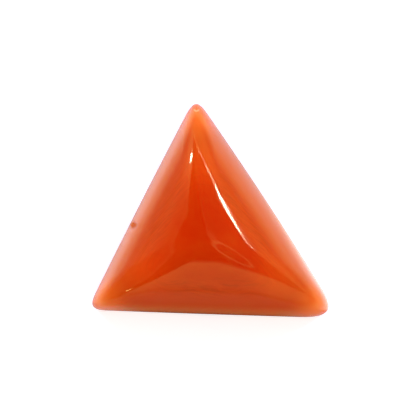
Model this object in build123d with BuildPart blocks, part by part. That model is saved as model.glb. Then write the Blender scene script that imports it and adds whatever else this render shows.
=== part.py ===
from build123d import *
import os
from collections import namedtuple
from math import acos, copysign, cos, hypot, pi, sin

# Triangular cabochon: one polished piece of red coral.
# Millimetres, +Z up out of the dome. The origin is on the flat base, under the crown's top,
# +X runs along the bottom side and +Y towards the top corner.

# Driving dimensions

# Sides of the plan, measured between the sharp corners that the round ones replace
bottom_side = 16.95
right_side = 17.7
left_side = 15.95

# How far each side swells outward at its middle
bottom_bow = 0.02
right_bow = 0.125
left_bow = 0.05

# How far each round corner stands back from its sharp corner, at the girdle
right_setback = 1.07
top_setback = 0.52
left_setback = 0.47

# Heights: the girdle is the short upright wall between the base's bevel and the crown
base_bevel = 0.2
girdle_height = 0.45
crown_height = 5.1

# Softness of the three ridges where they run out at the summit
summit_softness = 1.2

# Outlines drawn on the way up the crown, and points from a corner to the middle of a side,
# which crowd towards the corner
crown_levels = 8
corner_points = 7
corner_crowding = 2.2

# Corner angles of the plan, and the radius of the circle that touches all three sides
left_angle = acos((bottom_side**2 + left_side**2 - right_side**2) / (2 * bottom_side * left_side))
right_angle = acos((bottom_side**2 + right_side**2 - left_side**2) / (2 * bottom_side * right_side))
top_angle = pi - left_angle - right_angle
perimeter = bottom_side + right_side + left_side
inradius = bottom_side * left_side * sin(left_angle) / perimeter

Side = namedtuple("Side", "facing length bow")
bottom = Side(-pi / 2, bottom_side, bottom_bow)
right = Side(pi / 2 - right_angle, right_side, right_bow)
left = Side(pi / 2 + left_angle, left_side, left_bow)

Corner = namedtuple("Corner", "before after angle setback")
right_corner = Corner(bottom, right, right_angle, right_setback)
top_corner = Corner(right, left, top_angle, top_setback)
left_corner = Corner(left, bottom, left_angle, left_setback)

girdle_top = base_bevel + girdle_height
stone_height = girdle_top + crown_height


def nearness(side, direction):
    """The inradius over the distance to a side in one direction: 1 straight at the side."""
    bend = side.bow / (hypot(side.length / 2, inradius) - inradius)
    return bend + (1 - bend) * cos(direction - side.facing)


def corner_outline(corner, share):
    """Points round a corner, from the middle of the side before it to the next side's middle."""
    spread = (pi - corner.angle) / 2
    sharp = cos(spread)
    girdle_softness = 6 * (1 / (1 / sharp - corner.setback / inradius) - sharp)
    softness = girdle_softness * share + summit_softness * (1 - share)
    points = []
    for step in range(-corner_points, corner_points):
        crowded = abs(step / corner_points) ** corner_crowding
        direction = corner.before.facing + spread * (1 + copysign(crowded, step))
        before = nearness(corner.before, direction)
        after = nearness(corner.after, direction)
        overlap = max(softness - abs(before - after), 0) / softness
        blended = max(before, after) + softness * overlap**3 / 6
        reach = inradius * share / blended
        points.append((reach * cos(direction), reach * sin(direction)))
    return points


def stone_outline(height, share):
    """The stone's outline at one height, shrunk to a share of the girdle's inradius."""
    with BuildSketch(Plane.XY.offset(height)) as outline:
        with BuildLine():
            Spline(
                *corner_outline(right_corner, share),
                *corner_outline(top_corner, share),
                *corner_outline(left_corner, share),
                periodic=True,
            )
        make_face()
    return outline.sketch


with BuildPart() as coral_cabochon:
    # Base and girdle: an upright wall, bevelled all round where it meets the flat base
    extrude(stone_outline(0, 1), amount=girdle_top)
    base = coral_cabochon.faces().sort_by(Axis.Z)[0]
    chamfer(base.edges(), length=base_bevel)

    # Crown: a quarter ellipse from the girdle to the summit, upright below and level on top
    levels = []
    for level in range(crown_levels):
        climb = pi / 2 * level / crown_levels
        levels.append(stone_outline(girdle_top + crown_height * sin(climb), cos(climb)))
    summit = Vertex(0, 0, stone_height)
    loft(sections=[*levels, summit])

coral_cabochon.part.label = "coral_cabochon"

os.makedirs("parts", exist_ok=True)
export_step(coral_cabochon.part, "parts/coral_cabochon.step")
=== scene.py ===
import bpy
import math
from mathutils import Matrix, Vector


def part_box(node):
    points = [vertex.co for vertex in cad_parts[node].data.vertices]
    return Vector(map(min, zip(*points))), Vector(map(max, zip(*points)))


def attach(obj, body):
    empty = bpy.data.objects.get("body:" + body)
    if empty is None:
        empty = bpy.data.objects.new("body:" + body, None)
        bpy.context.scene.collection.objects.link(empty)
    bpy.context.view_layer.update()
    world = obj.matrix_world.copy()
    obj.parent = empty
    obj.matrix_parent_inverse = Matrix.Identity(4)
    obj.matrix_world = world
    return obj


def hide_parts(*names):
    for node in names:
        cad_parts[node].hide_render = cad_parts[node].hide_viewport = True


# A triangular cabochon of polished red coral on a pale table, among the cards and lamps of a small
# studio set. The stone's sizes are in millimetres, the table's in metres.

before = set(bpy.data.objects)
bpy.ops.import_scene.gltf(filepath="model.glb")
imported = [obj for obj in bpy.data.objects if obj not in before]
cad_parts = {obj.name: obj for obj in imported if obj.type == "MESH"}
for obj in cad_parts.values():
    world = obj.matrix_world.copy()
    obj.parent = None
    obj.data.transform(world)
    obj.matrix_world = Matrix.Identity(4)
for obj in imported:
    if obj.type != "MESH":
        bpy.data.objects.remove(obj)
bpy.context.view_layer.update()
stoneLow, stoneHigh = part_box("coral_cabochon")
mm = 0.001
plainWhite = (1.0, 1.0, 1.0, 1)
print("frame loaded, stone is", [round((b - a) / mm, 2) for a, b in zip(stoneLow, stoneHigh)], "mm")


# Node helpers, for shader and geometry trees alike

def addNode(tree, kind, **settings):
    node = tree.nodes.new(kind)
    for name, value in settings.items():
        setattr(node, name, value)
    return node


def feed(tree, socket, value):
    if isinstance(value, bpy.types.NodeSocket):
        tree.links.new(value, socket)
    else:
        socket.default_value = value


def maths(tree, operation, *values):
    node = addNode(tree, "ShaderNodeMath", operation=operation)
    for socket, value in zip(node.inputs, values):
        feed(tree, socket, value)
    return node.outputs[0]


def add(tree, first, *others):
    for other in others:
        first = maths(tree, "ADD", first, other)
    return first


def multiply(tree, first, *others):
    for other in others:
        first = maths(tree, "MULTIPLY", first, other)
    return first


def largest(tree, first, *others):
    for other in others:
        first = maths(tree, "MAXIMUM", first, other)
    return first


def subtract(tree, first, second):
    return maths(tree, "SUBTRACT", first, second)


def apart(tree, first, second):
    return maths(tree, "ABSOLUTE", subtract(tree, first, second))


def vectorMaths(tree, operation, *values):
    node = addNode(tree, "ShaderNodeVectorMath", operation=operation)
    for socket, value in zip(node.inputs, values):
        feed(tree, socket, value)
    return node.outputs["Value" if operation in ("DISTANCE", "DOT_PRODUCT") else "Vector"]


def scaleVector(tree, vector, factor):
    node = addNode(tree, "ShaderNodeVectorMath", operation="SCALE")
    feed(tree, node.inputs["Vector"], vector)
    feed(tree, node.inputs["Scale"], factor)
    return node.outputs["Vector"]


def remap(tree, value, start, stop, low=0.0, high=1.0, smooth=True):
    blend = "SMOOTHSTEP" if smooth else "LINEAR"
    node = addNode(tree, "ShaderNodeMapRange", interpolation_type=blend)
    for socket, item in zip(node.inputs, (value, start, stop, low, high)):
        feed(tree, socket, item)
    return node.outputs[0]


def splitVector(tree, vector):
    node = addNode(tree, "ShaderNodeSeparateXYZ")
    feed(tree, node.inputs[0], vector)
    return node.outputs


def joinVector(tree, x, y, z):
    node = addNode(tree, "ShaderNodeCombineXYZ")
    for socket, value in zip(node.inputs, (x, y, z)):
        feed(tree, socket, value)
    return node.outputs[0]


def mixColours(tree, factor, first, second):
    node = addNode(tree, "ShaderNodeMix", data_type="RGBA")
    feed(tree, node.inputs["Factor"], factor)
    feed(tree, node.inputs[6], first)
    feed(tree, node.inputs[7], second)
    return node.outputs[2]


def mixValues(tree, factor, first, second):
    node = addNode(tree, "ShaderNodeMix", data_type="FLOAT")
    feed(tree, node.inputs["Factor"], factor)
    feed(tree, node.inputs[2], first)
    feed(tree, node.inputs[3], second)
    return node.outputs[0]


def noise(tree, vector, scale, detail=2.0, roughness=0.5):
    node = addNode(tree, "ShaderNodeTexNoise")
    values = {"Vector": vector, "Scale": scale, "Detail": detail, "Roughness": roughness}
    for name, value in values.items():
        feed(tree, node.inputs[name], value)
    return node.outputs[0]


def finishShader(tree, kind, surface):
    feed(tree, addNode(tree, kind).inputs["Surface"], surface)


# Polished coral

coralFinish = {
    "flesh": (0.72, 0.030, 0.0006, 1),        # the red-orange body of the stone
    "paleFlesh": (0.74, 0.043, 0.0012, 1),    # slightly lighter clouds in it
    "cloudNoise": (0.35, 3.0),                # scale per millimetre and detail, for every noise
    "cloudEdges": (0.4, 0.62),
    "layerFacing": (0.03, -0.29, 1.0),        # the growth layers lie square to this
    "layerScale": 11,                         # how fine they are through their thickness
    "layerRun": 0.8,                          # and along themselves
    "layerNoise": (1.0, 3.0, 0.6),
    "layerWander": 0.7,                       # how far they stray from flat
    "wanderNoise": (0.3, 1.0),
    "layerTones": (                           # dark and pale layers: noise from, noise to, colour
        (0.5, 0.62, (0.20, 0.004, 0.0, 1)),
        (0.48, 0.36, (1.0, 0.09, 0.005, 1)),
    ),
    "layerStrength": 0.3,
    "layerHeights": (5.4, 4.4),               # they fade in below the summit
    "paintedCornerGlow": (6.6, 2.8, (1.0, 0.068, 0.001, 1)),    # painted glow through the thin corner; distances from its tip, and colour
    "paintedTipGlow": (3.0, 0.4, (1.0, 0.16, 0.010, 1)),
    "paintedOuterGlow": (0.35, 0.9, (0.70, 0.068, 0.003, 1)),   # painted glow towards the thin rim; shares of the way to the rim, and colour
    "paintedRimGlow": (0.85, 1.0, (0.80, 0.18, 0.040, 1)),
    "pitColour": (0.66, 0.12, 0.025, 1),
    "pitEdges": (1.2, 0.5),                   # shares of the pit's radius
    "glintX": -0.79,                           # a tiny pale crescent at the top corner, a painted highlight
    "glintY": 8.60,
    "glintRadius": 0.15,
    "glintWidth": 0.09,
    "glintFade": 0.5,                          # only its lower half shows, full from this share
    "glintStrength": 0.45,
    "glintColour": (1.0, 0.62, 0.25, 1),
    "scatter": 0.6,
    "scatterReach": 0.9,
    "scatterColours": (1.0, 0.25, 0.08),
    "index": 1.53,
    "specular": 0.5,
    "reflectionTint": (1.0, 0.72, 0.18, 1),
    "polish": (0.05, 0.0675),                 # roughness where it is best and least polished
    "polishNoise": (1.4, 2.0),
    "polishEdges": (0.35, 0.7),
    "groundRoughness": 0.45,                  # the base is left off the polishing wheel
    "groundHeight": 0.02,
    "grainNoise": (3.0, 3.0),                 # fine unevenness that only the gloss shows
    "grainStrength": 0.12,
    "grainDepth": 0.01,
}


def growthLayers(tree, place, finish):
    facing = tuple(Vector(finish["layerFacing"]).normalized())
    wander = multiply(tree, noise(tree, place, *finish["wanderNoise"]), finish["layerWander"])
    depth = add(tree, vectorMaths(tree, "DOT_PRODUCT", place, facing), wander)
    through = scaleVector(tree, facing, multiply(tree, depth, finish["layerScale"]))
    layered = vectorMaths(tree, "ADD", scaleVector(tree, place, finish["layerRun"]), through)
    return noise(tree, layered, *finish["layerNoise"])


def coralMaterial(finish, pit):
    material = bpy.data.materials.new("polishedCoral")
    material.use_nodes = True
    tree = material.node_tree
    shader = tree.nodes["Principled BSDF"]
    place = scaleVector(tree, addNode(tree, "ShaderNodeTexCoord").outputs["Object"], 1 / mm)
    x, y, z = splitVector(tree, place)
    flatPlace = joinVector(tree, x, y, 0.0)

    # flesh, growth layers, then the painted glow of light through the thin corners, rims and tips
    clouds = remap(tree, noise(tree, place, *finish["cloudNoise"]), *finish["cloudEdges"])
    colour = mixColours(tree, clouds, finish["flesh"], finish["paleFlesh"])
    layers = growthLayers(tree, place, finish)
    strength = remap(tree, z, *finish["layerHeights"], 0.0, finish["layerStrength"])
    for start, stop, tone in finish["layerTones"]:
        inLayer = multiply(tree, remap(tree, layers, start, stop), strength)
        colour = mixColours(tree, inLayer, colour, tone)
    rim = addNode(tree, "ShaderNodeAttribute", attribute_name="rimShare").outputs["Fac"]
    tip = addNode(tree, "ShaderNodeAttribute", attribute_name="tipDistance").outputs["Fac"]
    # painted glow: oranger and lighter at the thin corners, outer crown, rim and tips
    for where, key in ((tip, "paintedCornerGlow"), (rim, "paintedOuterGlow"), (rim, "paintedRimGlow"), (tip, "paintedTipGlow")):
        start, stop, tone = finish[key]
        colour = mixColours(tree, remap(tree, where, start, stop), colour, tone)

    # the pit, and the painted highlight at the top corner
    pitDistance = vectorMaths(tree, "DISTANCE", flatPlace, (pit["pitX"], pit["pitY"], 0.0))
    inPit = remap(tree, pitDistance, *(edge * pit["pitRadius"] for edge in finish["pitEdges"]))
    colour = mixColours(tree, inPit, colour, finish["pitColour"])
    # a pale crescent painted as a highlight
    glintY, glintRadius = finish["glintY"], finish["glintRadius"]
    glintDistance = vectorMaths(tree, "DISTANCE", flatPlace, (finish["glintX"], glintY, 0.0))
    onGlint = remap(tree, apart(tree, glintDistance, glintRadius), finish["glintWidth"], 0.0)
    glintEnd = glintY - finish["glintFade"] * glintRadius
    lowerHalf = remap(tree, y, glintY, glintEnd, 0.0, finish["glintStrength"])
    colour = mixColours(tree, multiply(tree, onGlint, lowerHalf), colour, finish["glintColour"])

    # polish, left off in the pit and on the base
    smear = noise(tree, place, *finish["polishNoise"])
    polished = remap(tree, smear, *finish["polishEdges"], *finish["polish"])
    ground = remap(tree, z, finish["groundHeight"], 0.0)
    bump = addNode(tree, "ShaderNodeBump")
    bump.inputs["Strength"].default_value = finish["grainStrength"]
    bump.inputs["Distance"].default_value = finish["grainDepth"] * mm
    feed(tree, bump.inputs["Height"], noise(tree, place, *finish["grainNoise"]))

    sockets = {
        "Base Color": colour,
        "Roughness": mixValues(tree, ground, polished, finish["groundRoughness"]),
        "Specular IOR Level": multiply(tree, subtract(tree, 1.0, inPit), finish["specular"]),
        "Normal": bump.outputs[0],
        "IOR": finish["index"],
        "Specular Tint": finish["reflectionTint"],
        "Subsurface Weight": finish["scatter"],
        "Subsurface Radius": finish["scatterColours"],
        "Subsurface Scale": finish["scatterReach"] * mm,
    }
    for name, value in sockets.items():
        feed(tree, shader.inputs[name], value)
    return material


# The stone, in millimetres, as a cutter would give it

cabochon = {
    "bottomSide": 16.95,      # girdle sides, corner to corner before rounding
    "rightSide": 17.7,
    "leftSide": 15.95,
    "bottomBow": 0.02,        # how far each side bows out at its middle
    "rightBow": 0.125,
    "leftBow": 0.05,
    "rightSetback": 1.07,     # how far each corner is rounded back from its point
    "topSetback": 0.52,
    "leftSetback": 0.47,
    "baseRoll": 0.2,          # rounding from the ground base to the girdle
    "girdleHeight": 0.45,
    "summitSoftness": 1.2,    # how widely the three faces run together at the top
    "columns": 130,           # mesh columns round each corner
    "baseRows": 6,
    "rollRows": 8,
    "girdleRows": 4,
    "crownRows": 130,
    "cornerCrowding": 1.6,    # above 1 packs the columns towards the corner
    "pitX": -4.64,            # one small natural pit, in the left face
    "pitY": 0.85,
    "pitRadius": 0.3,
    "pitDepth": 0.06,
    "waveHeight": 0.006,      # hand polishing leaves the faces very slightly uneven
    "waveScale": 0.45,
    "waveSeed": 3.0,
    "waveStart": 0.6,         # waves and pit fade in from this height
    "waveFull": 1.2,          # to this one
    "mergeDistance": 0.0001,
}
cornerInputs = ("Facing", "Spread", "Softness", "Bend Before", "Bend After")
sharedInputs = ("Inradius", "Base Roll", "Girdle Height", "Crown Height", "Summit Softness",
                "Crowding")
rowInputs = ("Columns", "Base Rows", "Roll Rows", "Girdle Rows", "Crown Rows")
finishInputs = ("Pit X", "Pit Y", "Pit Radius", "Pit Depth", "Wave Height", "Wave Scale",
                "Wave Seed", "Wave Start", "Wave Full", "Merge Distance")


def newTree(name, floats, integers):
    tree = bpy.data.node_groups.new(name, "GeometryNodeTree")
    for item in floats:
        tree.interface.new_socket(item, in_out="INPUT", socket_type="NodeSocketFloat")
    for item in integers:
        tree.interface.new_socket(item, in_out="INPUT", socket_type="NodeSocketInt")
    tree.interface.new_socket("Mesh", in_out="OUTPUT", socket_type="NodeSocketGeometry")
    return tree, addNode(tree, "NodeGroupInput").outputs, addNode(tree, "NodeGroupOutput").inputs


def storeValue(tree, mesh, name, value):
    node = addNode(tree, "GeometryNodeStoreNamedAttribute", data_type="FLOAT", domain="POINT")
    feed(tree, node.inputs["Geometry"], mesh)
    node.inputs["Name"].default_value = name
    feed(tree, node.inputs["Value"], value)
    return node.outputs[0]


def cornerPatchTree():
    tree, size, result = newTree("cornerPatch", cornerInputs + sharedInputs, rowInputs)

    # a flat sheet of columns and rows, one unit each way
    rollStart = size["Base Rows"]
    girdleStart = add(tree, rollStart, size["Roll Rows"])
    crownStart = add(tree, girdleStart, size["Girdle Rows"])
    rows = add(tree, crownStart, size["Crown Rows"])
    sheet = addNode(tree, "GeometryNodeMeshGrid")
    sheet.inputs["Size X"].default_value = 1
    sheet.inputs["Size Y"].default_value = 1
    feed(tree, sheet.inputs["Vertices X"], add(tree, size["Columns"], 1))
    feed(tree, sheet.inputs["Vertices Y"], add(tree, rows, 1))
    across, along, _ = splitVector(tree, addNode(tree, "GeometryNodeInputPosition").outputs[0])

    # columns fan out from the middle of one side to the middle of the next
    turn = multiply(tree, across, 2)
    crowded = maths(tree, "POWER", maths(tree, "ABSOLUTE", turn), size["Crowding"])
    crowded = multiply(tree, crowded, maths(tree, "SIGN", turn))
    swing = multiply(tree, size["Spread"], add(tree, crowded, 1))
    back = subtract(tree, swing, multiply(tree, size["Spread"], 2))
    direction = add(tree, size["Facing"], swing)

    # rows climb over the base, its rounding, the girdle and the crown
    row = multiply(tree, add(tree, along, 0.5), rows)
    underneath = remap(tree, row, 0, rollStart, smooth=False)
    rolled = remap(tree, row, rollStart, girdleStart, 0, math.pi / 2, smooth=False)
    upright = remap(tree, row, girdleStart, crownStart, smooth=False)
    climb = remap(tree, row, crownStart, rows, 0, math.pi / 2, smooth=False)
    share = maths(tree, "COSINE", climb)
    inset = multiply(tree, size["Base Roll"], subtract(tree, 1, maths(tree, "SINE", rolled)))
    widest = subtract(tree, size["Inradius"], inset)
    width = multiply(tree, widest, multiply(tree, underneath, share))
    height = add(
        tree,
        multiply(tree, size["Base Roll"], subtract(tree, 1, maths(tree, "COSINE", rolled))),
        multiply(tree, size["Girdle Height"], upright),
        multiply(tree, size["Crown Height"], maths(tree, "SINE", climb)),
    )

    # the two sides run into each other over a width that grows towards the summit
    def nearness(bend, angle):
        straight = subtract(tree, 1, bend)
        return add(tree, bend, multiply(tree, straight, maths(tree, "COSINE", angle)))

    widening = subtract(tree, size["Summit Softness"], size["Softness"])
    softness = add(tree, size["Softness"], multiply(tree, widening, subtract(tree, 1, share)))
    before = nearness(size["Bend Before"], swing)
    after = nearness(size["Bend After"], back)
    reach = maths(tree, "DIVIDE", width, maths(tree, "SMOOTH_MAX", before, after, softness))
    x = multiply(tree, reach, maths(tree, "COSINE", direction))
    y = multiply(tree, reach, maths(tree, "SINE", direction))

    # what the material asks for, stored before the sheet is moved
    rounding = maths(tree, "DIVIDE", size["Softness"], 6)
    tip = add(tree, maths(tree, "COSINE", size["Spread"]), rounding)
    tip = maths(tree, "DIVIDE", size["Inradius"], tip)
    middle = add(tree, size["Facing"], size["Spread"])
    tipX = multiply(tree, tip, maths(tree, "COSINE", middle))
    tipY = multiply(tree, tip, maths(tree, "SINE", middle))
    cornerTip = joinVector(tree, tipX, tipY, 0.0)
    toTip = vectorMaths(tree, "DISTANCE", joinVector(tree, x, y, 0.0), cornerTip)
    marked = storeValue(tree, sheet.outputs["Mesh"], "rimShare", multiply(tree, share, underneath))
    marked = storeValue(tree, marked, "tipDistance", toTip)

    place = addNode(tree, "GeometryNodeSetPosition")
    feed(tree, place.inputs["Geometry"], marked)
    feed(tree, place.inputs["Position"], scaleVector(tree, joinVector(tree, x, y, height), mm))
    feed(tree, result["Mesh"], place.outputs[0])
    return tree


def cabochonTree(patch, cornerNames, material):
    cornerSizes = tuple(f"{corner} {item}" for corner in cornerNames for item in cornerInputs)
    floats = cornerSizes + sharedInputs + finishInputs
    tree, size, result = newTree("cabochonStone", floats, rowInputs)
    joined = addNode(tree, "GeometryNodeJoinGeometry")
    for corner in cornerNames:
        part = addNode(tree, "GeometryNodeGroup", node_tree=patch)
        for item in cornerInputs:
            feed(tree, part.inputs[item], size[f"{corner} {item}"])
        for item in sharedInputs + rowInputs:
            feed(tree, part.inputs[item], size[item])
        tree.links.new(part.outputs[0], joined.inputs[0])
    merged = addNode(tree, "GeometryNodeMergeByDistance")
    feed(tree, merged.inputs["Geometry"], joined.outputs[0])
    feed(tree, merged.inputs["Distance"], multiply(tree, size["Merge Distance"], mm))

    # waves and the pit, along the surface's own normal
    place = scaleVector(tree, addNode(tree, "GeometryNodeInputPosition").outputs[0], 1 / mm)
    x, y, z = splitVector(tree, place)
    pitCentre = joinVector(tree, size["Pit X"], size["Pit Y"], 0.0)
    pitDistance = vectorMaths(tree, "DISTANCE", joinVector(tree, x, y, 0.0), pitCentre)
    pit = multiply(tree, remap(tree, pitDistance, size["Pit Radius"], 0.0), size["Pit Depth"])
    seed = joinVector(tree, size["Wave Seed"], size["Wave Seed"], 0.0)
    waves = noise(tree, vectorMaths(tree, "ADD", place, seed), size["Wave Scale"], 1.0)
    swell = multiply(tree, subtract(tree, waves, 0.5), size["Wave Height"])
    onCrown = remap(tree, z, size["Wave Start"], size["Wave Full"])
    lift = multiply(tree, subtract(tree, swell, pit), onCrown, mm)
    worn = addNode(tree, "GeometryNodeSetPosition")
    feed(tree, worn.inputs["Geometry"], merged.outputs[0])
    normal = addNode(tree, "GeometryNodeInputNormal").outputs[0]
    feed(tree, worn.inputs["Offset"], scaleVector(tree, normal, lift))

    smooth = addNode(tree, "GeometryNodeSetShadeSmooth")
    feed(tree, smooth.inputs["Geometry"], worn.outputs[0])
    realized = addNode(tree, "GeometryNodeRealizeInstances")
    feed(tree, realized.inputs[0], smooth.outputs[0])
    finished = addNode(tree, "GeometryNodeSetMaterial")
    feed(tree, finished.inputs["Geometry"], realized.outputs[0])
    finished.inputs["Material"].default_value = material
    feed(tree, result["Mesh"], finished.outputs[0])
    return tree


def triangleShape(sizes):
    bottom, right, left = sizes["bottomSide"], sizes["rightSide"], sizes["leftSide"]
    leftAngle = math.acos((bottom**2 + left**2 - right**2) / (2 * bottom * left))
    rightAngle = math.acos((bottom**2 + right**2 - left**2) / (2 * bottom * right))
    return leftAngle, rightAngle, bottom * left * math.sin(leftAngle) / (bottom + right + left)


leftAngle, rightAngle, inradius = triangleShape(cabochon)
sideFacings = {
    "bottom": -math.pi / 2,
    "right": math.pi / 2 - rightAngle,
    "left": math.pi / 2 + leftAngle,
}
corners = {      # side before, side after, angle
    "Right": ("bottom", "right", rightAngle),
    "Top": ("right", "left", math.pi - leftAngle - rightAngle),
    "Left": ("left", "bottom", leftAngle),
}


def modifierValues(sizes):
    values = {
        "Inradius": inradius,
        "Base Roll": sizes["baseRoll"],
        "Girdle Height": sizes["girdleHeight"],
        "Crown Height": stoneHigh[2] / mm - sizes["baseRoll"] - sizes["girdleHeight"],
        "Summit Softness": sizes["summitSoftness"],
        "Crowding": sizes["cornerCrowding"],
        "Columns": sizes["columns"],
        "Base Rows": sizes["baseRows"],
        "Roll Rows": sizes["rollRows"],
        "Girdle Rows": sizes["girdleRows"],
        "Crown Rows": sizes["crownRows"],
        "Pit X": sizes["pitX"],
        "Pit Y": sizes["pitY"],
        "Pit Radius": sizes["pitRadius"],
        "Pit Depth": sizes["pitDepth"],
        "Wave Height": sizes["waveHeight"],
        "Wave Scale": sizes["waveScale"],
        "Wave Seed": sizes["waveSeed"],
        "Wave Start": sizes["waveStart"],
        "Wave Full": sizes["waveFull"],
        "Merge Distance": sizes["mergeDistance"],
    }
    bends = {}
    for side in sideFacings:
        cornerReach = math.hypot(sizes[side + "Side"] / 2, inradius)
        bends[side] = sizes[side + "Bow"] / (cornerReach - inradius)
    for corner, (before, after, angle) in corners.items():
        sharp = math.sin(angle / 2)
        softness = 6 * (1 / (1 / sharp - sizes[corner.lower() + "Setback"] / inradius) - sharp)
        spread = (math.pi - angle) / 2
        numbers = (sideFacings[before], spread, softness, bends[before], bends[after])
        values.update({f"{corner} {item}": number for item, number in zip(cornerInputs, numbers)})
    return values


def buildCabochon(sizes, material):
    values = modifierValues(sizes)
    tree = cabochonTree(cornerPatchTree(), tuple(corners), material)
    stone = bpy.data.objects.new("coralStone", bpy.data.meshes.new("coralStone"))
    bpy.context.scene.collection.objects.link(stone)
    modifier = stone.modifiers.new("cabochon", "NODES")
    modifier.node_group = tree
    for item in tree.interface.items_tree:
        if item.in_out == "INPUT":
            modifier[item.identifier] = values[item.name]
    finished = stone.evaluated_get(bpy.context.evaluated_depsgraph_get())
    cut = bpy.data.meshes.new_from_object(finished)
    stone.modifiers.clear()
    stone.data = cut
    return stone


coralStone = buildCabochon(cabochon, coralMaterial(coralFinish, cabochon))
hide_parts("coral_cabochon")
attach(coralStone, "root")
print("stone cut,", len(coralStone.data.polygons), "faces")


# Table, in metres. The camera sees it plain white. The stone sees a table top with a painted pool
# of light on its left and right and painted shade in front. For the body's lift and the pool, a
# pair is for the right and the left of the stone. The other pairs say from where to where.

table = {
    "size": 0.8,
    "drop": 0.005 * mm,                 # keeps it clear of the stone's base
    "colour": (0.85, 0.85, 0.85, 1),
    "cameraLift": 0.55,                 # how much brighter the camera sees it
    "polishLift": 1.0,                  # and the polish, in the pool of light round the stone
    "bodyLift": (0.34, 0.14),           # and the body of the stone
    "sideChange": 0.003,                # right changes into left from this x to its opposite
    "poolColour": (1.0, 0.9, 0.36, 1),
    "poolStart": -0.0003,               # the pool begins just under the stone's edge,
    "poolRise": (0.006, 0.0025),        # is full here,
    "poolFade": (0.010, 0.003),         # fades from here
    "poolEnd": (0.040, 0.013),          # to here
    "poolFar": (0.25, 0.1),             # and keeps this much
    "whiteReach": (0.005, 0.001),       # close to the left side it is white: from, to
    "gleamReach": (0.0045, 0.0005),     # and brightest close to the right side,
    "gleamAlong": (0.005, -0.004),      # by the right corner
    "gleamEdge": (-0.0006, 0.0001),
    "gleamLevel": 1.3,
    "greyReach": (0.005, 0.016),        # far from the stone the polish sees the table greyer
    "greyLevel": 0.5,
    "shadeX": 0.0005,                   # in front a wedge of shade opens from this point
    "shadeY": 0.002,
    "shadeLeast": 0.0002,               # no slope is measured closer to it than this
    "bodyWedge": (-0.1, 0.6),           # its slopes, where the shade is full and where it ends,
    "polishWedge": (0.5, 1.2),          # as the body and as the polish see it
    "shadeReach": (-0.0048, -0.03),     # it pales from the first y to the second,
    "bodyShade": 0.0,                   # from these levels, again for both,
    "polishShade": 0.08,
    "shadeEnd": 0.9,                    # to this one
    "shadeBack": 0.4,                   # behind this share of its start there is none
}


def beyondSides(tree, place):
    beyond = {}
    for side, facing in sideFacings.items():
        outward = (math.cos(facing), math.sin(facing), 0.0)
        reach = vectorMaths(tree, "DOT_PRODUCT", place, outward)
        beyond[side] = subtract(tree, reach, inradius * mm)
    return largest(tree, *beyond.values()), beyond["right"]


def buildTable(settings):
    half = settings["size"] / 2
    mesh = bpy.data.meshes.new("paleTable")
    ends = [(-half, -half), (half, -half), (half, half), (-half, half)]
    mesh.from_pydata([(x, y, -settings["drop"]) for x, y in ends], [], [(0, 1, 2, 3)])
    top = bpy.data.objects.new("paleTable", mesh)
    bpy.context.scene.collection.objects.link(top)
    material = bpy.data.materials.new("whiteCard")
    material.use_nodes = True
    tree = material.node_tree
    tree.nodes.clear()
    rays = addNode(tree, "ShaderNodeLightPath").outputs
    toCamera, toBody = rays["Is Camera Ray"], rays["Is Diffuse Ray"]
    toPolish = largest(tree, rays["Is Glossy Ray"], rays["Is Transmission Ray"])
    notPolish = subtract(tree, 1.0, toPolish)
    place = addNode(tree, "ShaderNodeTexCoord").outputs["Object"]
    x, y, _ = splitVector(tree, place)
    leftward = remap(tree, x, settings["sideChange"], -settings["sideChange"])
    beyond, beyondRight = beyondSides(tree, place)

    def perSide(key):
        return remap(tree, leftward, 0, 1, *settings[key], smooth=False)

    # the wedge of shade in front
    shadeStart, shadeStop = settings["shadeReach"]
    forward = largest(tree, subtract(tree, settings["shadeY"], y), settings["shadeLeast"])
    slope = maths(tree, "DIVIDE", apart(tree, x, settings["shadeX"]), forward)
    besideBody = remap(tree, slope, *settings["bodyWedge"])
    besidePolish = largest(tree, remap(tree, slope, *settings["polishWedge"]), notPolish)
    behind = remap(tree, y, shadeStart, settings["shadeBack"] * shadeStart)
    clear = largest(tree, maths(tree, "MINIMUM", besideBody, besidePolish), behind)
    near = remap(tree, toPolish, 0, 1, settings["bodyShade"], settings["polishShade"])
    shade = remap(tree, y, shadeStart, shadeStop, near, settings["shadeEnd"])
    shade = joinVector(tree, shade, shade, shade)

    # the table's own colour
    colour = mixColours(tree, largest(tree, clear, toCamera), shade, settings["colour"])
    grey = remap(tree, beyond, *settings["greyReach"], 1.0, settings["greyLevel"])
    card = addNode(tree, "ShaderNodeBsdfDiffuse")
    feed(tree, card.inputs["Color"], scaleVector(tree, colour, largest(tree, grey, notPolish)))

    # the pool of light round the stone
    pool = multiply(
        tree,
        remap(tree, beyond, settings["poolStart"], perSide("poolRise")),
        remap(tree, beyond, perSide("poolEnd"), perSide("poolFade"), perSide("poolFar"), 1.0),
    )
    gleam = multiply(
        tree,
        remap(tree, beyond, *settings["gleamReach"]),
        remap(tree, y, *settings["gleamAlong"], 0.0, settings["gleamLevel"]),
        remap(tree, beyondRight, *settings["gleamEdge"]),
    )
    pool = multiply(tree, add(tree, pool, gleam), clear)
    seen = add(
        tree,
        multiply(tree, toPolish, settings["polishLift"]),
        multiply(tree, toBody, perSide("bodyLift")),
    )
    white = multiply(tree, leftward, remap(tree, beyond, *settings["whiteReach"]))
    warm = multiply(tree, toPolish, subtract(tree, 1.0, largest(tree, gleam, white)))
    glow = addNode(tree, "ShaderNodeEmission")
    feed(tree, glow.inputs["Color"], mixColours(tree, warm, plainWhite, settings["poolColour"]))
    cameraLift = multiply(tree, toCamera, settings["cameraLift"])
    feed(tree, glow.inputs["Strength"], add(tree, cameraLift, multiply(tree, seen, pool)))

    both = addNode(tree, "ShaderNodeAddShader")
    feed(tree, both.inputs[0], card.outputs[0])
    feed(tree, both.inputs[1], glow.outputs[0])
    finishShader(tree, "ShaderNodeOutputMaterial", both.outputs[0])
    mesh.materials.append(material)


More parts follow.
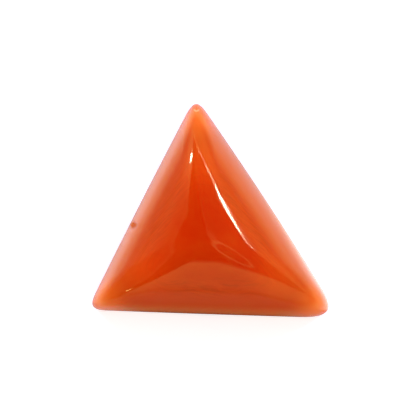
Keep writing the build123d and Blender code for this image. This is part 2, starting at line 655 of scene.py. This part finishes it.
buildTable(table)
print("table laid")


# Cards round the stone, drawn as on a sheet held one unit above it: x runs across, y along. The
# edge of a card is a row of lines, each a slope and an offset: y for each x, or for the left card
# x for each y. The polish sees these cards, and dark where none reaches. The body of the stone
# gathers a plain soft light instead.

cards = {
    "leftEdge": ((0, -1.16), (-0.9, -0.56)),               # the card lies left of it
    "leftGaps": ((0.85, 0.075), (-0.62, -0.27), (-0.35, -0.59), (0.1, -0.585)),
    "frontEdge": ((1.6, -0.7), (0.36, -0.7), (0, -0.38)),  # the card lies in front of it
    "backEdge": ((-0.28, 1.5), (-1.14, 2.43)),             # the card lies behind it
    "backGaps": ((-1.2, 1.0), (-0.24, 1.15)),
    "softness": 0.06,                                      # of the edges
    "frontSoftness": 0.13,
    "backLevel": 1.15,
    "backTint": (1.0, 0.98, 0.7, 1),
    "leftLevel": (0.2, 1.7),                               # from its front to its back
    "leftLevelEnds": (0.29, 0.60),
    "frontLevel": (0.65, 1.5),                             # from low down to high up
    "frontLevelEnds": (0.1, 0.8),
    "lowLevel": 0.5,                                       # every card is dimmer near the table
    "lowEnd": 0.25,
    "leftRimWidth": 0.07,                                  # the left card's edge catches light,
    "leftRimLevel": 0.45,
    "seamWidth": 0.09,                                     # and so does the back card's
    "seamLevel": 5.0,
    "seamEnds": (0.1, -0.3),
    "lensX": 0.38,                                         # the bright ring of a lens overhead
    "lensY": -0.08,
    "lensRadius": 0.25,
    "lensWidth": 0.045,
    "lensCore": 0.2,
    "lensLevel": 1.6,
    "plateEdge": ((0, 0.15), (-1, 0.35)),                  # a faint plate on the right
    "plateSoftness": 0.02,
    "plateLevel": 0.2,
    "plateRimWidth": 0.035,
    "plateRimLevel": 0.7,
    "plateRimEnds": ((0.0, 0.15), (0.6, 0.3)),             # it fades in, and out
    "lowest": 0.02,                                        # the sheet ends this close to level
    "bodyLight": 1.31,                                     # the soft light, and how much
    "bodyRight": 0.08,                                     # more comes from the right,
    "bodyBack": 0.11,                                      # the back and the top
    "bodyTop": -0.91,
}


def cardEdge(tree, along, lines, operation, first=None):
    edge = first
    for slope, offset in lines:
        line = maths(tree, "MULTIPLY_ADD", along, slope, offset)
        edge = line if edge is None else maths(tree, operation, edge, line)
    return edge


def brightLine(tree, distance, width, level, core=0.0):
    return remap(tree, maths(tree, "ABSOLUTE", distance), width, core * width, 0.0, level)


def buildWorld(box):
    world = bpy.data.worlds.new("studioCards")
    bpy.context.scene.world = world
    world.use_nodes = True
    tree = world.node_tree
    tree.nodes.clear()
    x, y, z = splitVector(tree, addNode(tree, "ShaderNodeTexCoord").outputs["Generated"])
    height = largest(tree, z, box["lowest"])
    across, along = maths(tree, "DIVIDE", x, height), maths(tree, "DIVIDE", y, height)

    # how far each direction lies past each card's edge
    left = cardEdge(tree, along, box["leftEdge"], "MAXIMUM")
    left = cardEdge(tree, along, box["leftGaps"], "MINIMUM", left)
    front = cardEdge(tree, across, box["frontEdge"], "MINIMUM")
    back = cardEdge(tree, across, box["backEdge"], "MINIMUM")
    back = cardEdge(tree, across, box["backGaps"], "MAXIMUM", back)
    pastLeft = subtract(tree, left, across)
    pastFront = subtract(tree, front, along)
    pastBack = subtract(tree, along, back)
    onLeft = remap(tree, pastLeft, -box["softness"], box["softness"])
    onFront = remap(tree, pastFront, -box["frontSoftness"], box["frontSoftness"])
    onBack = remap(tree, pastBack, -box["softness"], box["softness"])

    # the cards, each laid over the one before
    leftLevel = remap(tree, y, *box["leftLevelEnds"], *box["leftLevel"], smooth=False)
    frontLevel = remap(tree, z, *box["frontLevelEnds"], *box["frontLevel"], smooth=False)
    seen = 0.0
    for onCard, level in ((onBack, box["backLevel"]), (onFront, frontLevel), (onLeft, leftLevel)):
        seen = add(tree, seen, multiply(tree, onCard, subtract(tree, level, seen)))
    seen = multiply(tree, seen, remap(tree, z, 0.0, box["lowEnd"], box["lowLevel"], 1.0))

    # their lit edges, the lens and the plate
    seam = brightLine(tree, pastBack, box["seamWidth"], box["seamLevel"])
    seam = multiply(tree, seam, remap(tree, across, *box["seamEnds"]))
    leftRim = brightLine(tree, pastLeft, box["leftRimWidth"], box["leftRimLevel"])
    sheetPlace = joinVector(tree, across, along, 0.0)
    fromLens = vectorMaths(tree, "DISTANCE", sheetPlace, (box["lensX"], box["lensY"], 0.0))
    fromRing = subtract(tree, fromLens, box["lensRadius"])
    lens = brightLine(tree, fromRing, box["lensWidth"], box["lensLevel"], box["lensCore"])
    seen = add(tree, seen, seam, leftRim, lens)
    pastPlate = subtract(tree, across, cardEdge(tree, along, box["plateEdge"], "MINIMUM"))
    softness = box["plateSoftness"]
    plate = remap(tree, pastPlate, -softness, softness, 0.0, box["plateLevel"])
    plateRim = brightLine(tree, pastPlate, box["plateRimWidth"], box["plateRimLevel"])
    for ends in box["plateRimEnds"]:
        plateRim = multiply(tree, plateRim, remap(tree, along, *ends))
    seen = largest(tree, seen, add(tree, plate, plateRim))

    # the soft light for the body, and white for the camera
    gathered = box["bodyLight"]
    for axis, amount in ((x, box["bodyRight"]), (y, box["bodyBack"]), (z, box["bodyTop"])):
        gathered = add(tree, multiply(tree, axis, amount), gathered)
    rays = addNode(tree, "ShaderNodeLightPath").outputs
    level = add(tree, seen, multiply(tree, rays["Is Diffuse Ray"], subtract(tree, gathered, seen)))
    tinted = multiply(tree, onBack, rays["Is Glossy Ray"])
    background = addNode(tree, "ShaderNodeBackground")
    feed(tree, background.inputs["Color"], mixColours(tree, tinted, plainWhite, box["backTint"]))
    feed(tree, background.inputs["Strength"], largest(tree, level, rays["Is Camera Ray"]))
    finishShader(tree, "ShaderNodeOutputWorld", background.outputs[0])


# Lamps. Each has its direction from the stone in degrees (round from +X, down from overhead), how
# long and wide it looks, how far its long side is turned from level, and how bright it is.

daylight = (0.32, 0.44, 1.0)
warmLight = (0.6, 0.6, 0.5)
lampDistance = 0.3
lamps = {
    "keyBar": {"round": 35.9, "down": 60.3, "long": 6.6, "wide": 1.0, "turn": 110, "level": 240},
    "keyEnd": {"round": 38.5, "down": 63.5, "long": 4.2, "wide": 1.8, "turn": 0, "level": 220},
    "backRim": {"round": 78, "down": 54, "long": 36, "wide": 1.6, "turn": 0, "level": 16},
    "leftLamp": {"round": 134, "down": 67, "long": 6, "wide": 4.5, "turn": 0, "level": 200},
    "cornerLamp": {"round": -124.2, "down": 67.8, "long": 7, "wide": 1.0, "turn": 28, "level": 34,
                   "tone": warmLight},
}
bulbRows = {      # small bulbs beyond both ends of the key bar, from one direction to another
    "upperBulb": {"from": (43.0, 62.0), "to": (62, 55.0), "count": 8,
                  "long": 1.2, "wide": 2.0, "level": 60},
    "lowerBulb": {"from": (34.2, 57.5), "to": (30.8, 59.0), "count": 4,
                  "long": 0.35, "wide": 2.5, "level": 80},
}


def addLamp(name, lamp):
    around, down = math.radians(lamp["round"]), math.radians(lamp["down"])
    flat = math.sin(down)
    away = Vector((flat * math.cos(around), flat * math.sin(around), math.cos(down)))
    level = Vector((-math.sin(around), math.cos(around), 0))
    turn = math.radians(lamp["turn"])
    run = level * math.cos(turn) + away.cross(level) * math.sin(turn)
    light = bpy.data.lights.new(name, "AREA")
    light.shape = "RECTANGLE"
    light.size = 2 * lampDistance * math.tan(math.radians(lamp["long"] / 2))
    light.size_y = 2 * lampDistance * math.tan(math.radians(lamp["wide"] / 2))
    light.color = lamp.get("tone", daylight)
    light.energy = lamp["level"] * math.pi * light.size * light.size_y
    holder = bpy.data.objects.new(name, light)
    bpy.context.scene.collection.objects.link(holder)
    holder.location = away * lampDistance
    holder.rotation_euler = Matrix((run, away.cross(run), away)).transposed().to_euler()
    holder.visible_camera = False


def addBulbRow(name, row):
    for number in range(row["count"]):
        along = number / (row["count"] - 1)
        around, down = (a + (b - a) * along for a, b in zip(row["from"], row["to"]))
        addLamp(f"{name}{number + 1}", {**row, "round": around, "down": down, "turn": 0})


buildWorld(cards)
for name, lamp in lamps.items():
    addLamp(name, lamp)
for name, row in bulbRows.items():
    addBulbRow(name, row)
print("lights set")


# Camera, straight overhead

camera = {
    "height": 0.35,               # above the girdle's top
    "girdleTop": 0.65 * mm,
    "field": 27.6 * mm,           # width of the view at that height
    "turn": 1.927,                # degrees
    "overX": 0.321 * mm,
    "overY": 2.004 * mm,
}


def buildCamera(view):
    eye = bpy.data.cameras.new("overhead")
    eye.sensor_width = 36
    eye.lens = eye.sensor_width * view["height"] / view["field"]
    eye.clip_start = 0.01
    holder = bpy.data.objects.new("overhead", eye)
    bpy.context.scene.collection.objects.link(holder)
    holder.location = (view["overX"], view["overY"], view["height"] + view["girdleTop"])
    holder.rotation_euler = (0, 0, math.radians(view["turn"]))
    bpy.context.scene.camera = holder


buildCamera(camera)
bpy.context.scene.view_settings.view_transform = "Standard"
print("camera placed")
